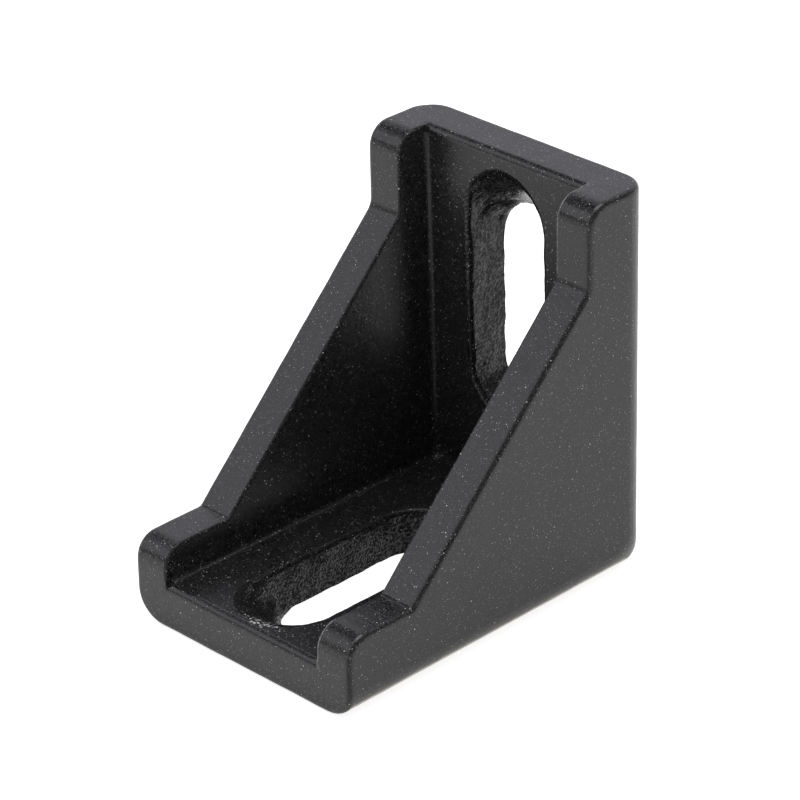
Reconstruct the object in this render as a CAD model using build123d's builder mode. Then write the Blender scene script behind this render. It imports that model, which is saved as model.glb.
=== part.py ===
from build123d import *
import math
import os

# T slot corner bracket: one die-cast piece that joins two slotted profiles at a right angle.
# Millimetres. The base flange lies on z = 0 with its free end towards -Y. The upright flange
# stands at the back, with its outer face towards +Y. X runs across the width.

# Overall size
width = 20.0
reach = 28.0  # length of the base flange, and height of the upright one

# Flanges and side walls
end_thickness = 3.45  # a flange at its free end
root_thickness = 3.05  # a flange at the inner corner, where the two meet
wall_thickness = 3.0

# Lips: the low level stretches of the side walls at the free ends of the flanges
lip_height = 6.0
lip_run = 5.75

# Screw slot, the same in both flanges
slot_width = 6.4
slot_from_end = 8.0  # from the flange's free end to the centre of the slot's outer arc
slot_travel = 8.4  # between the centres of the slot's two arcs
slot_land = 0.3  # depth of the slot's straight part, from the flange's outer face
pull_angle = 45.0  # lean of the slot's outer end, the way its core left the casting
slot_draft = 1.5

# Rounding of the casting's edges
long_edge_radius = 2.2
heel_radius = 0.9
lip_corner_radius = 1.7
lip_foot_radius = 1.0
crease_radius = 0.3
outer_edge_radius = 0.5
inner_edge_radius = 0.3
slot_edge_radius = 0.3
pocket_radius = 0.4

# Worked out from the sizes above
front = -reach / 2
back = reach / 2
past_metal = 2.0  # how far a cutting shape runs out of the metal
flange_swap = Plane(origin=(0, back, 0), z_dir=(0, 1, 1))  # mirrors one flange onto the other

# Casing: the side view, with lips and slope, carried across the width
with BuildPart() as bracket:
    with BuildSketch(Plane.YZ):
        with BuildLine():
            FilletPolyline(
                (front, 0),
                (front, lip_height),
                (front + lip_run, lip_height),
                (back - lip_height, reach - lip_run),
                (back - lip_height, reach),
                (back, reach),
                radius=[lip_corner_radius, crease_radius, lip_foot_radius, lip_corner_radius],
            )
            Polyline((back, reach), (back, 0), (front, 0))
        make_face()
    extrude(amount=width / 2, both=True)

    # Large rounds along the outer sides of both flanges, then the heel between them
    under_sides = bracket.edges().filter_by(Axis.Y).group_by(Axis.Z)[0]
    behind_sides = bracket.edges().filter_by(Axis.Z).group_by(Axis.Y)[-1]
    fillet(under_sides + behind_sides, long_edge_radius)
    heel = bracket.edges().filter_by(Axis.X).group_by(Axis.Z)[0].sort_by(Axis.Y)[-1]
    fillet(heel, heel_radius)

    # One smooth run of edges goes round the flange ends and both side faces
    outer_rim = bracket.edges().filter_by(Axis.X).group_by(Axis.Z)[0].sort_by(Axis.Y)[0]
    fillet(outer_rim, outer_edge_radius)

# Pocket: the space between the side walls, where the flanges thin towards the inner corner
with BuildPart() as pocket:
    thickening = (end_thickness - root_thickness) / (reach - root_thickness)
    mouth_thickness = end_thickness + thickening * past_metal
    with BuildSketch(Plane.YZ):
        with BuildLine():
            Polyline(
                (front - past_metal, mouth_thickness),
                (back - root_thickness, root_thickness),
                (back - mouth_thickness, reach + past_metal),
                (front - past_metal, reach + past_metal),
                close=True,
            )
        make_face()
    extrude(amount=width / 2 - wall_thickness, both=True)
    floor = pocket.faces().sort_by(Axis.Z)[0]
    upright = pocket.faces().sort_by(Axis.Y)[-1]
    side_corners = (floor.edges() + upright.edges()).filter_by(Axis.X, reverse=True)
    inner_corner = upright.edges().sort_by(Axis.Z)[0]
    fillet(side_corners + [inner_corner], pocket_radius)


def slot_outline(depth, lean=0.0, growth=0.0):
    """The base's slot at a depth, with its outer arc moved out by lean and its arcs grown."""
    travel = slot_travel + lean
    heel_arc = front + slot_from_end + slot_travel
    with BuildSketch(Plane.XY.offset(depth)) as outline:
        with Locations((0, heel_arc - travel / 2)):
            SlotCenterToCenter(travel, slot_width + 2 * growth, rotation=90)
    return outline.sketch


# Slots: straight at the outer face, then opening along the slanted pull of the slot's core
with BuildPart() as slots:
    slot_depth = end_thickness + past_metal
    slot_rise = slot_depth - slot_land
    slot_lean = slot_rise * math.tan(math.radians(pull_angle))
    slot_growth = slot_rise * math.tan(math.radians(slot_draft))
    extrude(slot_outline(0), amount=slot_depth)
    loft([slot_outline(slot_land), slot_outline(slot_depth, slot_lean, slot_growth)])
    mirror(about=flange_swap)

with bracket:
    add(pocket.part, mode=Mode.SUBTRACT)
    flange_ends = bracket.edges().filter_by(Axis.X).group_by(Axis.Y)[0].sort_by(Axis.Z)
    fillet(flange_ends[1], inner_edge_radius)
    add(slots.part, mode=Mode.SUBTRACT)
    slotted_faces = bracket.faces().filter_by(lambda face: face.inner_wires())
    pocket_sides = slotted_faces.sort_by(SortBy.AREA)[:2]
    fillet([face.inner_wires()[0].edges() for face in pocket_sides], slot_edge_radius)

os.makedirs("parts", exist_ok=True)
bracket.part.label = "corner_bracket"
export_step(bracket.part, "parts/corner_bracket.step")
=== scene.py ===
import math

import bmesh
import bpy
from mathutils import Matrix, Vector, noise


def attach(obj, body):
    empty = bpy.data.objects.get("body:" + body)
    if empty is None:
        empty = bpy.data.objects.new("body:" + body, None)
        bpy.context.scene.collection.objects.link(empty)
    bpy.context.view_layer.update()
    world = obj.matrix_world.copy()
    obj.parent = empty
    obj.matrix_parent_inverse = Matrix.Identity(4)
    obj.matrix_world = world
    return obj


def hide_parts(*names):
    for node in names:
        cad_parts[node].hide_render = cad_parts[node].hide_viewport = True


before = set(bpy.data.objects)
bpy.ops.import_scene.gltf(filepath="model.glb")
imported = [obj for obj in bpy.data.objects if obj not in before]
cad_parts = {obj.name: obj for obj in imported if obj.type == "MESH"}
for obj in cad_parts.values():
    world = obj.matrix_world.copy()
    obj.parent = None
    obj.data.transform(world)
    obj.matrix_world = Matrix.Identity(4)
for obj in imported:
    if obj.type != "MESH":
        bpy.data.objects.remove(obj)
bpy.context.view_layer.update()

# The powder coat
# Black polyester powder, baked on: satin, with fine orange peel and a sprinkle of bright specks.
# It lies thick and shining in the slots, dull on the pocket's floor and thin on the rims, and it
# is lighter in a line along the inner edges of the right wall's lips.
millimetre = 0.001
coat_colours = (0.003, 0.003, 0.0033, 1), (0.024, 0.024, 0.025, 1)
# The lighter colours of the line along the right lips' inner edges
light_line_colours = (0.06, 0.06, 0.06, 1), (0.30, 0.30, 0.31, 1)
# Painted glints: the light colour of the bright specks
speck_glint_colour = (0.80, 0.80, 0.81, 1)
speck_rise = 0.007
coat_ior = 1.55


def add_node(tree, kind, values=None, **settings):
    """A node in a tree, with its settings and the values of its inputs."""
    node = tree.nodes.new(kind)
    for name, value in settings.items():
        setattr(node, name, value)
    for name, value in (values or {}).items():
        node.inputs[name].default_value = value
    return node


def effect_group(name, inputs, outputs):
    """An empty node group with number inputs, given as name and value, and number outputs."""
    tree = bpy.data.node_groups.new(name, "ShaderNodeTree")
    for label, value in inputs.items():
        socket = tree.interface.new_socket(label, in_out="INPUT", socket_type="NodeSocketFloat")
        socket.default_value = value
    for label in outputs:
        tree.interface.new_socket(label, in_out="OUTPUT", socket_type="NodeSocketFloat")
    return tree, tree.nodes.new("NodeGroupInput"), tree.nodes.new("NodeGroupOutput")


# Bright specks: ragged dots, one to a cell of space, more small than large. They stand up a little
# as grains, and their light colour is a painted glint.
speck_rarity, speck_tearing, speck_core = 1.4, 6.0, 0.6
specks, given, result = effect_group(
    "painted_glint_specks",
    {"Cell Size": 0.3 * millimetre, "Largest": 0.25, "Raggedness": 0.25}, ["Mask"])
place = add_node(specks, "ShaderNodeTexCoord")
per_metre = add_node(specks, "ShaderNodeMath", {0: 1.0}, operation="DIVIDE")
specks.links.new(given.outputs["Cell Size"], per_metre.inputs[1])
in_cells = add_node(specks, "ShaderNodeVectorMath", operation="SCALE")
specks.links.new(place.outputs["Object"], in_cells.inputs[0])
specks.links.new(per_metre.outputs[0], in_cells.inputs["Scale"])
ragged = add_node(specks, "ShaderNodeTexNoise", {"Scale": speck_tearing, "Detail": 0.0})
specks.links.new(in_cells.outputs[0], ragged.inputs["Vector"])
pushed = add_node(specks, "ShaderNodeVectorMath", operation="SCALE")
specks.links.new(ragged.outputs["Color"], pushed.inputs[0])
specks.links.new(given.outputs["Raggedness"], pushed.inputs["Scale"])
torn = add_node(specks, "ShaderNodeVectorMath", operation="ADD")
specks.links.new(in_cells.outputs[0], torn.inputs[0])
specks.links.new(pushed.outputs[0], torn.inputs[1])
cells = add_node(specks, "ShaderNodeTexVoronoi", {"Scale": 1.0}, feature="F1")
specks.links.new(torn.outputs[0], cells.inputs["Vector"])
lot = add_node(specks, "ShaderNodeTexWhiteNoise", noise_dimensions="3D")
specks.links.new(cells.outputs["Color"], lot.inputs["Vector"])
chance = add_node(specks, "ShaderNodeSeparateColor")
specks.links.new(lot.outputs["Color"], chance.inputs[0])
rarer = add_node(specks, "ShaderNodeMath", {1: speck_rarity}, operation="POWER")
specks.links.new(chance.outputs[0], rarer.inputs[0])
speck_size = add_node(specks, "ShaderNodeMath", operation="MULTIPLY")
specks.links.new(rarer.outputs[0], speck_size.inputs[0])
specks.links.new(given.outputs["Largest"], speck_size.inputs[1])
nearness = add_node(specks, "ShaderNodeMath", operation="DIVIDE")
specks.links.new(cells.outputs["Distance"], nearness.inputs[0])
specks.links.new(speck_size.outputs[0], nearness.inputs[1])
dot = add_node(specks, "ShaderNodeMapRange", {
    "From Min": speck_core, "From Max": 1.0, "To Min": 1.0, "To Max": 0.0})
specks.links.new(nearness.outputs[0], dot.inputs["Value"])
faded = add_node(specks, "ShaderNodeMath", operation="MULTIPLY")
specks.links.new(dot.outputs[0], faded.inputs[0])
specks.links.new(chance.outputs[1], faded.inputs[1])
specks.links.new(faded.outputs[0], result.inputs["Mask"])

# Orange peel: the low swells of the melted powder, with finer grain on top. Both can be drawn out
# into strokes along one direction, the way that the wrinkles in the slots run.
stroke_slant = (0.60, 0.55, 0.58)
stroke_direction = Vector(stroke_slant).normalized()
peel, given, result = effect_group(
    "orange_peel",
    {"Swell Size": 0.5 * millimetre, "Grain Size": 0.14 * millimetre, "Grain Share": 0.5,
     "Drawn Out": 0.0},
    ["Height", "Grain"])
place = add_node(peel, "ShaderNodeTexCoord")
along = add_node(peel, "ShaderNodeVectorMath", {1: stroke_direction}, operation="DOT_PRODUCT")
peel.links.new(place.outputs["Object"], along.inputs[0])
shortened = add_node(peel, "ShaderNodeMath", operation="MULTIPLY")
peel.links.new(along.outputs["Value"], shortened.inputs[0])
peel.links.new(given.outputs["Drawn Out"], shortened.inputs[1])
taken = add_node(peel, "ShaderNodeVectorMath", {0: stroke_direction}, operation="SCALE")
peel.links.new(shortened.outputs[0], taken.inputs["Scale"])
drawn = add_node(peel, "ShaderNodeVectorMath", operation="SUBTRACT")
peel.links.new(place.outputs["Object"], drawn.inputs[0])
peel.links.new(taken.outputs[0], drawn.inputs[1])
heights = []
for label in ("Swell Size", "Grain Size"):
    per_metre = add_node(peel, "ShaderNodeMath", {0: 1.0}, operation="DIVIDE")
    peel.links.new(given.outputs[label], per_metre.inputs[1])
    layer = add_node(peel, "ShaderNodeTexNoise", {"Detail": 2.0, "Roughness": 0.5})
    peel.links.new(drawn.outputs[0], layer.inputs["Vector"])
    peel.links.new(per_metre.outputs[0], layer.inputs["Scale"])
    heights.append(layer.outputs[0])
both = add_node(peel, "ShaderNodeMix", data_type="FLOAT")
peel.links.new(given.outputs["Grain Share"], both.inputs["Factor"])
peel.links.new(heights[0], both.inputs["A"])
peel.links.new(heights[1], both.inputs["B"])
peel.links.new(both.outputs["Result"], result.inputs["Height"])
peel.links.new(heights[1], result.inputs["Grain"])

# Painted glints: more bright specks, painted as glints, lie beside the base slot's free end. The
# largest size is full there and falls away from it, but never to 0, because a size divides a
# distance.
glint_centre = Vector((0.0009, -0.01295, 0.0034))
glint_reach = (0.0024, 0.0010, 0.0011)
glint_core, glint_least, glint_cell = 0.2, 0.001, 0.18
glint_patch, given, result = effect_group("painted_glints", {"Largest": 0.3}, ["Largest"])
place = add_node(glint_patch, "ShaderNodeTexCoord")
offset = add_node(glint_patch, "ShaderNodeVectorMath", {1: glint_centre}, operation="SUBTRACT")
glint_patch.links.new(place.outputs["Object"], offset.inputs[0])
in_reaches = add_node(glint_patch, "ShaderNodeVectorMath", {1: glint_reach}, operation="DIVIDE")
glint_patch.links.new(offset.outputs[0], in_reaches.inputs[0])
away_from = add_node(glint_patch, "ShaderNodeVectorMath", operation="LENGTH")
glint_patch.links.new(in_reaches.outputs[0], away_from.inputs[0])
fading = add_node(glint_patch, "ShaderNodeMapRange", {
    "From Min": glint_core, "From Max": 1.0, "To Max": glint_least})
glint_patch.links.new(away_from.outputs["Value"], fading.inputs["Value"])
glint_patch.links.new(given.outputs["Largest"], fading.inputs["To Min"])
glint_patch.links.new(fading.outputs[0], result.inputs["Largest"])

# The heights, from 0 to 1, between which the grain changes the colour and the gloss, and the ones
# between which a skin begins to shine
mottle_foot, mottle_top = 0.40, 0.62
satin_foot, satin_top, satin_spread = 0.3, 0.7, 0.08
ridge_foot, ridge_top = 0.47, 0.57


def powder(name, swell, grain, share, depth, gloss, speck_layers,
           shine=0.5, drawn_out=0.0, skin=0.0, glints=0.0, colours=coat_colours):
    """A powder coat material, from the sizes of its peel and specks in millimetres. A skin is
    melted powder that shines on the ridges of the peel only. Painted glints come on top."""
    material = bpy.data.materials.new(name)
    material.use_nodes = True
    tree = material.node_tree
    shader = tree.nodes["Principled BSDF"]
    shader.inputs["IOR"].default_value = coat_ior
    shader.inputs["Specular IOR Level"].default_value = shine
    relief = add_node(tree, "ShaderNodeGroup", node_tree=peel)
    relief.inputs["Swell Size"].default_value = swell * millimetre
    relief.inputs["Grain Size"].default_value = grain * millimetre
    relief.inputs["Grain Share"].default_value = share
    relief.inputs["Drawn Out"].default_value = drawn_out
    mottled = add_node(tree, "ShaderNodeMapRange", {
        "From Min": mottle_foot, "From Max": mottle_top})
    tree.links.new(relief.outputs["Grain"], mottled.inputs["Value"])
    colour = add_node(tree, "ShaderNodeMix", data_type="RGBA")
    colour.inputs["A"].default_value, colour.inputs["B"].default_value = colours
    tree.links.new(mottled.outputs[0], colour.inputs["Factor"])
    height = relief.outputs["Height"]
    layers = [(cell, largest, False) for cell, largest in speck_layers]
    # Painted glints: a patch of larger bright specks beside the base slot's free end
    if glints:
        layers.append((glint_cell, glints, True))
    for cell, largest, as_painted_glints in layers:
        dots = add_node(tree, "ShaderNodeGroup", node_tree=specks)
        dots.inputs["Cell Size"].default_value = cell * millimetre
        dots.inputs["Largest"].default_value = largest
        if as_painted_glints:
            spot = add_node(tree, "ShaderNodeGroup", node_tree=glint_patch)
            spot.inputs["Largest"].default_value = largest
            tree.links.new(spot.outputs["Largest"], dots.inputs["Largest"])
        # Each layer of specks mixes in the painted glint colour
        under, colour = colour, add_node(tree, "ShaderNodeMix", data_type="RGBA")
        colour.inputs["B"].default_value = speck_glint_colour
        tree.links.new(dots.outputs["Mask"], colour.inputs["Factor"])
        tree.links.new(under.outputs["Result"], colour.inputs["A"])
        raised = add_node(tree, "ShaderNodeMath", {1: speck_rise / depth}, operation="MULTIPLY_ADD")
        tree.links.new(dots.outputs["Mask"], raised.inputs[0])
        tree.links.new(height, raised.inputs[2])
        height = raised.outputs[0]
    tree.links.new(colour.outputs["Result"], shader.inputs["Base Color"])
    satin = add_node(tree, "ShaderNodeMapRange", {
        "From Min": satin_foot, "From Max": satin_top,
        "To Min": gloss - satin_spread, "To Max": gloss + satin_spread})
    tree.links.new(relief.outputs["Grain"], satin.inputs["Value"])
    tree.links.new(satin.outputs[0], shader.inputs["Roughness"])
    if skin:
        ridges = add_node(tree, "ShaderNodeMapRange", {
            "From Min": ridge_foot, "From Max": ridge_top, "To Min": 0.0, "To Max": skin})
        tree.links.new(relief.outputs["Height"], ridges.inputs["Value"])
        tree.links.new(ridges.outputs[0], shader.inputs["Coat Weight"])
        shader.inputs["Coat IOR"].default_value = coat_ior
        shader.inputs["Coat Roughness"].default_value = gloss
    bump = add_node(tree, "ShaderNodeBump", {"Strength": 1.0, "Distance": depth * millimetre})
    tree.links.new(height, bump.inputs["Height"])
    tree.links.new(bump.outputs[0], shader.inputs["Normal"])
    return material


coat = powder(
    "powder_coat", swell=0.34, grain=0.12, share=0.10, depth=0.016, gloss=0.23,
    speck_layers=[(0.23, 0.21), (0.12, 0.26)])
pocket_coat = powder(
    "pocket_powder_coat", swell=0.34, grain=0.12, share=0.22, depth=0.027, gloss=0.34,
    speck_layers=[(0.21, 0.25), (0.12, 0.26)], shine=0.43)
dull_coat = powder(
    "dull_powder_coat", swell=0.30, grain=0.12, share=0.25, depth=0.035, gloss=0.34,
    speck_layers=[(0.21, 0.25), (0.12, 0.26)], shine=0.20, glints=1.1)
thick_coat = powder(
    "thick_powder_coat", swell=0.125, grain=0.07, share=0.25, depth=0.10, gloss=0.20,
    speck_layers=[(0.34, 0.22), (0.17, 0.20)], shine=0.05, drawn_out=0.66, skin=1.0, glints=1.1)
even_coat = powder(
    "even_powder_coat", swell=0.15, grain=0.08, share=0.25, depth=0.045, gloss=0.15,
    speck_layers=[(0.30, 0.22), (0.16, 0.20)], shine=0.16, drawn_out=0.66, skin=0.68)
thin_coat = powder(
    "thin_powder_coat", swell=0.20, grain=0.09, share=0.30, depth=0.035, gloss=0.32,
    speck_layers=[(0.24, 0.27), (0.13, 0.27)], shine=0.26)
light_line_coat = powder(
    "light_line_powder_coat", swell=0.20, grain=0.12, share=0.30, depth=0.035, gloss=0.40,
    speck_layers=[(0.24, 0.27)], colours=light_line_colours)

# The casting's outside
# The bracket is one die casting: two flanges at a right angle, closed by two side walls that run
# low at the flanges' free ends and slope between them. The mould left every outer edge rounded.
# Its sizes are in millimetres, and the finished mesh is scaled to metres at the end.
width, reach = 20.0, 28.0
lip_height, lip_run = 6.0, 5.75
lip_corner_radius, lip_corner_steps = 1.7, 10
lip_foot_radius, lip_foot_steps = 1.0, 5
crease_radius, crease_steps = 0.3, 3
long_edge_radius, long_edge_steps = 2.2, 12
heel_radius, heel_steps = 0.9, 6
outer_edge_radius, outer_edge_steps, outer_edge_turn = 0.42, 6, math.radians(60)
front, back = -reach / 2, reach / 2
side = width / 2
# Points that are nearer to each other than this count as one
touch = 0.001


def rounded_corner(before, corner, after, radius, steps):
    """Points, in (y, z), of the arc that rounds one corner of a side view."""
    before, corner, after = Vector(before), Vector(corner), Vector(after)
    if radius == 0:
        return [corner]
    towards_before = (before - corner).normalized()
    towards_after = (after - corner).normalized()
    half_angle = towards_before.angle(towards_after) / 2
    inwards = (towards_before + towards_after).normalized()
    middle = corner + inwards * radius / math.sin(half_angle)
    start = corner + towards_before * radius / math.tan(half_angle) - middle
    finish = corner + towards_after * radius / math.tan(half_angle) - middle
    sweep = math.atan2(start.cross(finish), start.dot(finish))
    points = []
    for step in range(steps + 1):
        angle = sweep * step / steps
        points.append(middle + Vector((
            start.x * math.cos(angle) - start.y * math.sin(angle),
            start.x * math.sin(angle) + start.y * math.cos(angle),
        )))
    return points


def prism(outline, half_width):
    """A closed prism across the width, from the (y, z) points of its side view, anticlockwise."""
    shape = bmesh.new()
    left = [shape.verts.new((-half_width, y, z)) for y, z in outline]
    right = [shape.verts.new((half_width, y, z)) for y, z in outline]
    for here in range(len(outline)):
        ahead = (here + 1) % len(outline)
        shape.faces.new((left[here], left[ahead], right[ahead], right[here]))
    shape.faces.new(right)
    shape.faces.new(left[::-1])
    return shape


def round_edges(shape, edges, radius, steps, slot_number=-1):
    """Round edges of a shape by one radius, with a material slot for the new faces."""
    bmesh.ops.bevel(
        shape, geom=edges, offset=radius, offset_type="OFFSET", segments=steps,
        profile=0.5, affect="EDGES", clamp_overlap=False, material=slot_number,
    )


def ends(edge):
    """The places of an edge's two ends."""
    return [vert.co for vert in edge.verts]


side_view = [
    ((front, 0), 0, 0),
    ((back, 0), 0, 0),
    ((back, reach), 0, 0),
    ((back - lip_height, reach), lip_corner_radius, lip_corner_steps),
    ((back - lip_height, reach - lip_run), lip_foot_radius, lip_foot_steps),
    ((front + lip_run, lip_height), crease_radius, crease_steps),
    ((front, lip_height), lip_corner_radius, lip_corner_steps),
]
outline = []
for number, (corner, radius, steps) in enumerate(side_view):
    before = side_view[number - 1][0]
    after = side_view[(number + 1) % len(side_view)][0]
    outline += rounded_corner(before, corner, after, radius, steps)
body = prism(outline, side)

# The mould's large rounds run under and behind the side walls, with a smaller one on the heel
round_edges(body, [
    edge for edge in body.edges
    if abs(abs(edge.verts[0].co.x + edge.verts[1].co.x) - width) < touch and (
        all(abs(end.z) < touch for end in ends(edge))
        or all(abs(end.y - back) < touch for end in ends(edge)))
], long_edge_radius, long_edge_steps)
round_edges(body, [
    edge for edge in body.edges
    if all(abs(end.y + end.z - back) < touch and end.z < long_edge_radius + touch
           for end in ends(edge))
], heel_radius, heel_steps)

# One run of small rounds goes round the flange ends and both side faces
flat_ends = [
    face for face in body.faces
    if all(abs(abs(vert.co.x) - side) < touch for vert in face.verts)
    or all(abs(vert.co.y - front) < touch for vert in face.verts)
    or all(abs(vert.co.z - reach) < touch for vert in face.verts)
]
round_edges(body, [
    edge for edge in body.edges
    if any(face in flat_ends for face in edge.link_faces)
    and edge.calc_face_angle() > outer_edge_turn
], outer_edge_radius, outer_edge_steps)

casting_mesh = bpy.data.meshes.new("casting")
finishes = [coat, pocket_coat, thick_coat, thin_coat, light_line_coat, dull_coat, even_coat]
for finish in finishes:
    casting_mesh.materials.append(finish)
body.to_mesh(casting_mesh)
body.free()
casting = bpy.data.objects.new("casting", casting_mesh)
bpy.context.scene.collection.objects.link(casting)

# The pocket between the side walls
# The mould's core left it: a floor and an upright face that thin the flanges towards the inner
# corner, and two flat walls. Every corner and the rim have a small round, and the flange ends
# have a wider one between the walls.
end_thickness, root_thickness = 3.45, 3.05
wall_thickness = 3.0
pocket_radius, pocket_steps = 0.4, 4
rim_radius, rim_steps = 0.20, 4
flange_end_radius, flange_end_steps = 0.55, 9
past_metal = 2.0
pocket_side = side - wall_thickness
thickening = (end_thickness - root_thickness) / (reach - root_thickness)
mouth_thickness = end_thickness + thickening * past_metal
core_view = [
    (front - past_metal, mouth_thickness),
    (back - root_thickness, root_thickness),
    (back - mouth_thickness, reach + past_metal),
    (front - past_metal, reach + past_metal),
]
core = prism(core_view, pocket_side)
inner_edges = [
    edge for edge in core.edges
    if any((end - Vector((end.x, *core_view[1]))).length < touch for end in ends(edge))
]
round_edges(core, inner_edges, pocket_radius, pocket_steps)


def flange_thickness(y):
    """How thick the drafted base is at one place along it, and the upright likewise."""
    return root_thickness + (back - root_thickness - y) * thickening


def finish_modifiers(thing):
    """Turn an object with its modifiers into a plain mesh."""
    evaluated = thing.evaluated_get(bpy.context.evaluated_depsgraph_get())
    mesh = bpy.data.meshes.new_from_object(evaluated)
    thing.modifiers.clear()
    thing.data = mesh


def cut(thing, cutter_shape, *materials):
    """Cut a closed shape out of an object, and give the new faces the shape's materials."""
    mesh = bpy.data.meshes.new("cutter")
    cutter_shape.to_mesh(mesh)
    cutter_shape.free()
    for finish in materials:
        mesh.materials.append(finish)
    cutter = bpy.data.objects.new("cutter", mesh)
    bpy.context.scene.collection.objects.link(cutter)
    cutting = thing.modifiers.new("cut", "BOOLEAN")
    cutting.object = cutter
    cutting.operation = "DIFFERENCE"
    cutting.solver = "EXACT"
    cutting.material_mode = "TRANSFER"
    finish_modifiers(thing)
    bpy.data.objects.remove(cutter)


cut(casting, core, pocket_coat)

shape = bmesh.new()
shape.from_mesh(casting.data)
rim = [
    edge for edge in shape.edges
    if {finishes[face.material_index] for face in edge.link_faces} == {coat, pocket_coat}
]
round_edges(shape, rim, rim_radius, rim_steps, finishes.index(thin_coat))
shape.normal_update()

# The coat is lighter in a line along the inner edges of the right wall's lips, and lies dull on
# the pocket's floor
light_line_turn, floor_turn = -0.02, 0.9
for face in shape.faces:
    finish = finishes[face.material_index]
    centre = face.calc_center_median()
    on_upper_lip = centre.z > reach - lip_run + lip_foot_radius / 2
    on_lip = on_upper_lip or centre.y < front + lip_corner_radius
    on_right_wall = centre.x > pocket_side and face.normal.x < light_line_turn
    if finish == thin_coat and on_lip and on_right_wall:
        face.material_index = finishes.index(light_line_coat)
    if finish == pocket_coat and face.normal.z > floor_turn:
        face.material_index = finishes.index(dull_coat)
shape.to_mesh(casting.data)
shape.free()

# The wider rounds' cutter stands clear of the pocket's walls and floor, so that no two faces of
# the cut lie in one plane
clear_above, clear_aside = 2 * touch, 4 * touch
round_start = front + flange_end_radius
round_top = flange_thickness(round_start) + clear_above
end_view = [(front - past_metal, round_top - flange_end_radius)]
for step in range(flange_end_steps + 1):
    angle = math.pi * (1 - step / flange_end_steps / 2)
    end_view.append((
        round_start + flange_end_radius * math.cos(angle),
        round_top - flange_end_radius + flange_end_radius * math.sin(angle),
    ))
end_view.append((round_start, round_top + past_metal))
end_view.append((front - past_metal, round_top + past_metal))
upright_end_view = [(back - z, back - y) for y, z in reversed(end_view)]
cut(casting, prism(end_view, pocket_side + clear_aside), coat)
cut(casting, prism(upright_end_view, pocket_side + clear_aside), coat)

# The screw slots
# One core, pulled out along the diagonal, left a slot in each flange: straight for a short land at
# the outer face, then leaning out at its free end. Thick powder wrinkles the slot's walls and
# rounds its mouth on the pocket's side, and the base's mouth opens wider at its free end.
slot_width, slot_from_end, slot_travel = 6.4, 8.0, 8.4
slot_land, pull_angle, slot_draft = 0.3, math.radians(45), math.radians(1.5)
mouth_radius, mouth_steps, mouth_end = 0.38, 8, math.radians(84)
front_mouth_growth = 0.50
arc_points, straight_points, wall_rows = 112, 90, 34
settling_rounds = 3
wrinkle_depth, wrinkle_length, wrinkle_spacing = 0.030, 0.46, 0.20
wrinkle_slants = stroke_slant, (0, 0.7, -0.7), (0.8, -0.45, -0.4)
wrinkle_fading, wrinkle_fineness, wrinkle_layers = 0.9, 2.0, 2
mouth_wrinkle_share = 0.7
lump_depth, lump_size = 0.10, 1.25
shade_spot_ragging, shade_spot_left, shade_spot_front = 0.3, -0.5, -0.3
base_finishes = [thick_coat, dull_coat]


def wrinkles(point):
    """How far the wrinkled powder stands back from a slot's true wall, in millimetres."""
    along, across, aside = [
        point.x * slant[0] + point.y * slant[1] + point.z * slant[2] for slant in wrinkle_slants]
    folded = Vector((along / wrinkle_length, across / wrinkle_spacing, aside / wrinkle_spacing))
    fold = noise.fractal(folded, wrinkle_fading, wrinkle_fineness, wrinkle_layers)
    return wrinkle_depth * fold + lump_depth * noise.noise(point / lump_size)


def slot_rows(y, mouth):
    """Heights in the flange, with how far the mouth's round has opened the slot there."""
    thickness = flange_thickness(y)
    wall_top = thickness - mouth
    rows = [(-past_metal / 2, 0.0)]
    for row in range(wall_rows):
        rows.append((wall_top * row / wall_rows, 0.0))
    for step in range(mouth_steps + 1):
        angle = mouth_end * step / mouth_steps
        rows.append((wall_top + mouth * math.sin(angle), mouth * (1 - math.cos(angle))))
    rows.append((thickness + past_metal / 2, mouth * (1 - math.cos(mouth_end))))
    return rows


# The points round a slot: how far each is from the heel's arc to the free end's, and which way
# the wall there faces
heel_arc = front + slot_from_end + slot_travel
free_arc = front + slot_from_end
columns = []
for point in range(arc_points):
    angle = math.pi * point / arc_points
    columns.append((0.0, Vector((math.cos(angle), math.sin(angle)))))
for point in range(straight_points):
    columns.append((point / straight_points, Vector((-1, 0))))
for point in range(arc_points):
    angle = math.pi + math.pi * point / arc_points
    columns.append((1.0, Vector((math.cos(angle), math.sin(angle)))))
for point in range(straight_points):
    columns.append((1 - point / straight_points, Vector((1, 0))))
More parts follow.
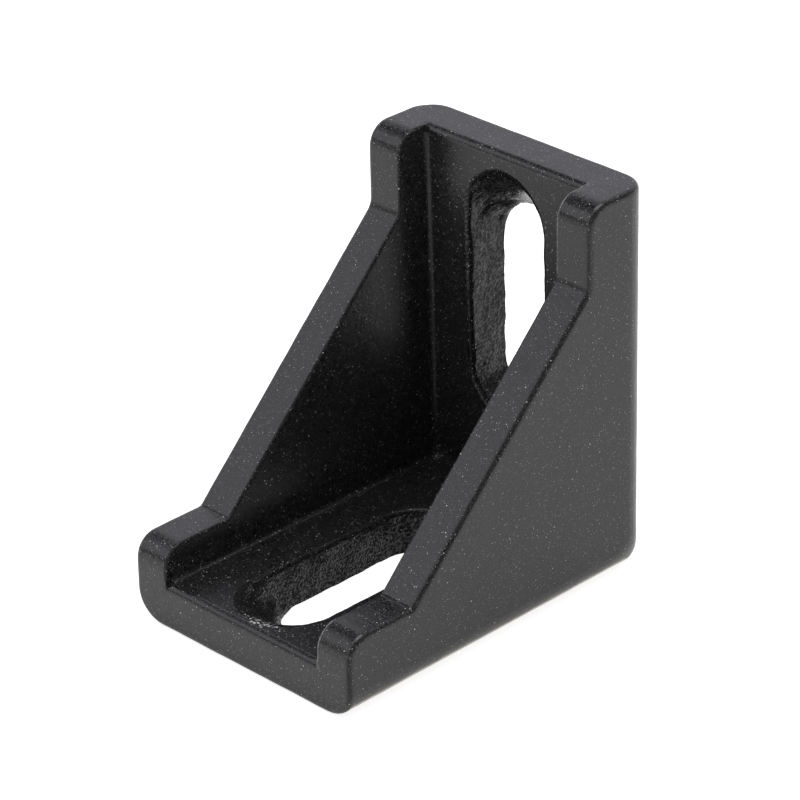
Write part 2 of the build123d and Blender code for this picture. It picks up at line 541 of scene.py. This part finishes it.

# A point's height follows the flange's thickness where the wall has leant to, so it is settled in
# a few rounds. The upright's slot is the base's, mirrored about the diagonal. The mouth of the
# base's slot is dull, but for a spot at its front left that keeps the thick coat's low shine as
# painted shade.
row_count = len(slot_rows(heel_arc, mouth_radius))
for upright in (False, True):
    slots = bmesh.new()
    rings = []
    for row in range(row_count):
        ring = []
        for towards_end, outwards in columns:
            arc_middle = heel_arc + (free_arc - heel_arc) * towards_end
            y = arc_middle
            mouth = mouth_radius
            if not upright:
                mouth += front_mouth_growth * max(-outwards.y, 0)
            for _ in range(settling_rounds):
                height, opened = slot_rows(y, mouth)[row]
                above_land = max(height - slot_land, 0)
                lean = above_land * math.tan(pull_angle) * towards_end
                radius = slot_width / 2 + above_land * math.tan(slot_draft) + opened
                y = arc_middle - lean + radius * outwards.y
            place = Vector((radius * outwards.x, y, height))
            if upright:
                place = Vector((place.x, back - height, back - place.y))
            amount = wrinkles(place) * (mouth_wrinkle_share if opened else 1.0)
            moved = Vector((outwards.x, outwards.y, 0)) * amount
            if upright:
                moved = Vector((moved.x, 0, -moved.y))
            ring.append(slots.verts.new(place + moved))
        rings.append(ring)
    faces = []
    for row, (below, above) in enumerate(zip(rings, rings[1:])):
        for here, (_, outwards) in enumerate(columns):
            ahead = (here + 1) % len(columns)
            face = slots.faces.new((below[here], below[ahead], above[ahead], above[here]))
            ragged = shade_spot_ragging * noise.noise(below[here].co / lump_size)
            # Painted shade: a ragged spot at the base mouth's front left keeps the thick coat's low
            # shine
            in_painted_shade_spot = outwards.x + ragged < shade_spot_left and outwards.y + ragged < shade_spot_front
            in_mouth = row > wall_rows
            if in_mouth and not upright and not in_painted_shade_spot:
                face.material_index = base_finishes.index(dull_coat)
            faces.append(face)
    faces.append(slots.faces.new(rings[-1]))
    faces.append(slots.faces.new(rings[0][::-1]))
    if upright:
        bmesh.ops.reverse_faces(slots, faces=faces)
        cut(casting, slots, even_coat)
    else:
        cut(casting, slots, *base_finishes)

# The cast skin
# A die casting comes out of the mould a little uneven, and the powder on it shows that. The faces
# are divided so that they can dip by a few hundredths of a millimetre, and none stands out past
# the true sizes. The slots' walls aren't divided, because their mesh is fine enough already.
skin_step = 0.5
dip_size, dip_depth = 1.9, 0.030
ripple_size, ripple_depth = 0.95, 0.022
fairing_weight = 50
slot_walls = finishes.index(thick_coat), finishes.index(even_coat)
shape = bmesh.new()
shape.from_mesh(casting.data)
cuts = []
for axis, start, span in ((0, -side, width), (1, front, reach), (2, 0, reach)):
    for step in range(1, int(span / skin_step)):
        cuts.append((axis, start + step * skin_step))
for axis, level in cuts:
    place, direction = Vector(), Vector()
    place[axis] = level
    direction[axis] = 1
    faces = [face for face in shape.faces if face.material_index not in slot_walls]
    edges = {edge for face in faces for edge in face.edges}
    verts = {vert for face in faces for vert in face.verts}
    bmesh.ops.bisect_plane(
        shape, geom=[*faces, *edges, *verts], dist=touch / 10,
        plane_co=place, plane_no=direction,
    )
shape.normal_update()
for vert, place, normal in [(vert, vert.co.copy(), vert.normal.copy()) for vert in shape.verts]:
    dip = dip_depth * (noise.noise(place / dip_size) - 1) / 2
    ripple = ripple_depth * (noise.noise(place / ripple_size) - 1) / 2
    vert.co = place + normal * (dip + ripple)
    vert.co.y = min(max(vert.co.y, front + touch), back - touch)
    vert.co.z = min(max(vert.co.z, touch), reach - touch)
shape.to_mesh(casting.data)
shape.free()
for face in casting.data.polygons:
    face.use_smooth = True
shape = bmesh.new()
shape.from_mesh(casting.data)
for edge in shape.edges:
    edge.smooth = len({face.material_index in slot_walls for face in edge.link_faces}) == 1
shape.to_mesh(casting.data)
shape.free()
fairing = casting.modifiers.new("fair", "WEIGHTED_NORMAL")
fairing.weight = fairing_weight
fairing.keep_sharp = True
finish_modifiers(casting)
casting.data.transform(Matrix.Scale(millimetre, 4))

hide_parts("corner_bracket")
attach(casting, "root")

# The floor and the surroundings
# A pale table top under the bracket, and white all round it. The eye sees both as white, with
# the bracket's soft shadow on the floor, and the coat's gloss sees the floor a little darker.
floor_half = 0.8
floor_colour, floor_roughness = (0.80, 0.79, 0.78, 1), 0.9
floor_glow, floor_gloss_glow = 0.78, 0.30
room_light = 0.68
white = (1, 1, 1, 1)


def seen_directly(tree):
    """A factor that is 1 for what the eye, a gloss or a glass shows, and 0 for light on things."""
    path = add_node(tree, "ShaderNodeLightPath")
    factor = path.outputs["Is Camera Ray"]
    for ray in ("Is Glossy Ray", "Is Transmission Ray"):
        larger = add_node(tree, "ShaderNodeMath", operation="MAXIMUM")
        tree.links.new(factor, larger.inputs[0])
        tree.links.new(path.outputs[ray], larger.inputs[1])
        factor = larger.outputs[0]
    return factor


floor_mesh = bpy.data.meshes.new("floor")
floor_mesh.from_pydata(
    [(-floor_half, -floor_half, 0), (floor_half, -floor_half, 0),
     (floor_half, floor_half, 0), (-floor_half, floor_half, 0)],
    [], [(0, 1, 2, 3)],
)
floor = bpy.data.objects.new("floor", floor_mesh)
bpy.context.scene.collection.objects.link(floor)
floor_paint = bpy.data.materials.new("floor")
floor_paint.use_nodes = True
tree = floor_paint.node_tree
table_top = tree.nodes["Principled BSDF"]
table_top.inputs["Base Color"].default_value = floor_colour
table_top.inputs["Roughness"].default_value = floor_roughness
table_top.inputs["Emission Color"].default_value = white
glow = add_node(tree, "ShaderNodeMath", {1: floor_glow}, operation="MULTIPLY")
tree.links.new(seen_directly(tree), glow.inputs[0])
gloss_path = add_node(tree, "ShaderNodeLightPath")
dimmed = floor_gloss_glow - floor_glow
dimmer = add_node(tree, "ShaderNodeMath", {1: dimmed}, operation="MULTIPLY_ADD")
tree.links.new(gloss_path.outputs["Is Glossy Ray"], dimmer.inputs[0])
tree.links.new(glow.outputs[0], dimmer.inputs[2])
tree.links.new(dimmer.outputs[0], table_top.inputs["Emission Strength"])
floor_mesh.materials.append(floor_paint)

world = bpy.data.worlds.new("room")
bpy.context.scene.world = world
world.use_nodes = True
tree = world.node_tree
walls = tree.nodes["Background"]
walls.inputs["Color"].default_value = white
walls.inputs["Strength"].default_value = room_light
backdrop = add_node(tree, "ShaderNodeBackground", {"Color": white})
either = add_node(tree, "ShaderNodeMixShader")
tree.links.new(seen_directly(tree), either.inputs["Fac"])
tree.links.new(walls.outputs[0], either.inputs[1])
tree.links.new(backdrop.outputs[0], either.inputs[2])
tree.links.new(either.outputs[0], tree.nodes["World Output"].inputs["Surface"])
bpy.context.scene.view_settings.view_transform = "Standard"

# The lamps, the cloths and the paper
# Two soft boxes light the bracket, one above and behind it and a cooler one on its left. Cloths
# from black to pale grey hang round the table and one lies before it, with a strip of white paper
# at its right side. Only the coat's gloss shows them, as darker and lighter lines on the rounds.
bracket_middle = Vector((0, 0, 0.014))
soft_boxes = {
    "soft_box_above": ((0.0, 0.05, 0.75), 0.50, 1.6, (1.0, 1.0, 1.0)),
    "soft_box_left": ((-0.44, -0.31, 0.42), 0.40, 0.14, (0.72, 0.70, 1.0)),
}
for name, (place, size, power, tint) in soft_boxes.items():
    lamp_data = bpy.data.lights.new(name, "AREA")
    lamp_data.size = size
    lamp_data.energy = power
    lamp_data.color = tint
    lamp = bpy.data.objects.new(name, lamp_data)
    lamp.location = place
    lamp.rotation_mode = "QUATERNION"
    lamp.rotation_quaternion = (Vector(place) - bracket_middle).to_track_quat("Z", "Y")
    bpy.context.scene.collection.objects.link(lamp)

cloth_distance, cloth_steps = 1.0, 12
unlit = (0, 0, 0, 1)
black, dark_grey = (0.05, 0.05, 0.05, 1), (0.24, 0.24, 0.24, 1)
grey, light_grey = (0.40, 0.40, 0.41, 1), (0.62, 0.62, 0.62, 1)
pale_grey, glowing_paper = (0.76, 0.76, 0.83, 1), (1.25, 1.17, 1.08, 1)
hanging = {
    "cloth_right": ((60, 172), (3, 72), dark_grey),
    "cloth_back_right": ((14, 60), (14, 54), dark_grey),
    "cloth_upper_left": ((-135, -62), (46, 64), black),
    "cloth_lower_left": ((-170, -118), (1, 17), grey),
    "cloth_upper_back": ((-61, 14), (45, 80), grey),
    "cloth_back": ((-117, 14), (1, 45), pale_grey),
}


def spread_cloth(name, corners, shade):
    """A cloth from its rows of points, seen only by the gloss of the coat."""
    rows, columns = len(corners), len(corners[0])
    mesh = bpy.data.meshes.new(name)
    mesh.from_pydata(
        [point for row in corners for point in row], [],
        [(row * columns + column, row * columns + column + 1,
          (row + 1) * columns + column + 1, (row + 1) * columns + column)
         for row in range(rows - 1) for column in range(columns - 1)],
    )
    dye = bpy.data.materials.new(name)
    dye.use_nodes = True
    shader = dye.node_tree.nodes["Principled BSDF"]
    shader.inputs["Base Color"].default_value = unlit
    shader.inputs["Specular IOR Level"].default_value = 0
    shader.inputs["Emission Color"].default_value = shade
    shader.inputs["Emission Strength"].default_value = 1
    mesh.materials.append(dye)
    cloth = bpy.data.objects.new(name, mesh)
    bpy.context.scene.collection.objects.link(cloth)
    cloth.visible_camera = False
    cloth.visible_diffuse = False
    cloth.visible_shadow = False


for name, (headings, climbs, shade) in hanging.items():
    rows = []
    for row in range(cloth_steps + 1):
        climb = math.radians(climbs[0] + (climbs[1] - climbs[0]) * row / cloth_steps)
        points = []
        for column in range(cloth_steps + 1):
            heading = math.radians(headings[0] + (headings[1] - headings[0]) * column / cloth_steps)
            points.append(bracket_middle + cloth_distance * Vector((
                math.sin(heading) * math.cos(climb),
                math.cos(heading) * math.cos(climb),
                math.sin(climb),
            )))
        rows.append(points)
    spread_cloth(name, rows, shade)

# The cloth on the table starts just before the bracket's front corner
front_corner = Vector((0.0097, -0.0137, 0.0002))
lying_inner, lying_outer, lying_headings = 0.0012, 0.2, range(94, 179, 6)
spread_cloth("cloth_before", [
    [front_corner + distance * Vector((math.sin(heading), math.cos(heading), 0))
     for heading in map(math.radians, lying_headings)]
    for distance in (lying_inner, lying_outer)
], light_grey)

# The paper lies under the edge of the bracket's right side and glows, and the coat's gloss shows it
# as a bright reflected line along that round
strip_inner, strip_outer, strip_half_length, strip_lift = 0.0084, 0.0095, 0.013, 0.00003
spread_cloth("paper_strip", [
    [Vector((across, along, strip_lift)) for along in (-strip_half_length, strip_half_length)]
    for across in (strip_inner, strip_outer)
], glowing_paper)

# The camera
# It looks down on the bracket's open side from the front right, where the photograph was taken.
# The numbers come from fitting the outline of a 20 x 28 x 28 mm bracket to the photograph.
view_azimuth = math.radians(45.59)
view_height = math.radians(27.80)
view_roll = math.radians(-1.30)
view_distance = 0.26116
view_focus_px = 4039.43
picture_px = 800
sensor = 36.0
aim_right, aim_up = 0.00054, 0.00009

away = Vector((
    math.sin(view_azimuth) * math.cos(view_height),
    -math.cos(view_azimuth) * math.cos(view_height),
    math.sin(view_height),
))
level_right = Vector((math.cos(view_azimuth), math.sin(view_azimuth), 0))
level_up = away.cross(level_right)
turn = Matrix.Rotation(view_roll, 3, away)
camera_right, camera_up = turn @ level_right, turn @ level_up

camera_data = bpy.data.cameras.new("camera")
camera_data.sensor_width = sensor
camera_data.lens = view_focus_px * sensor / picture_px
camera_data.clip_start, camera_data.clip_end = 0.01, 10
camera = bpy.data.objects.new("camera", camera_data)
camera.matrix_world = Matrix.Translation(
    bracket_middle + camera_right * aim_right + camera_up * aim_up + away * view_distance
) @ Matrix((camera_right, camera_up, away)).transposed().to_4x4()
bpy.context.scene.collection.objects.link(camera)
bpy.context.scene.camera = camera
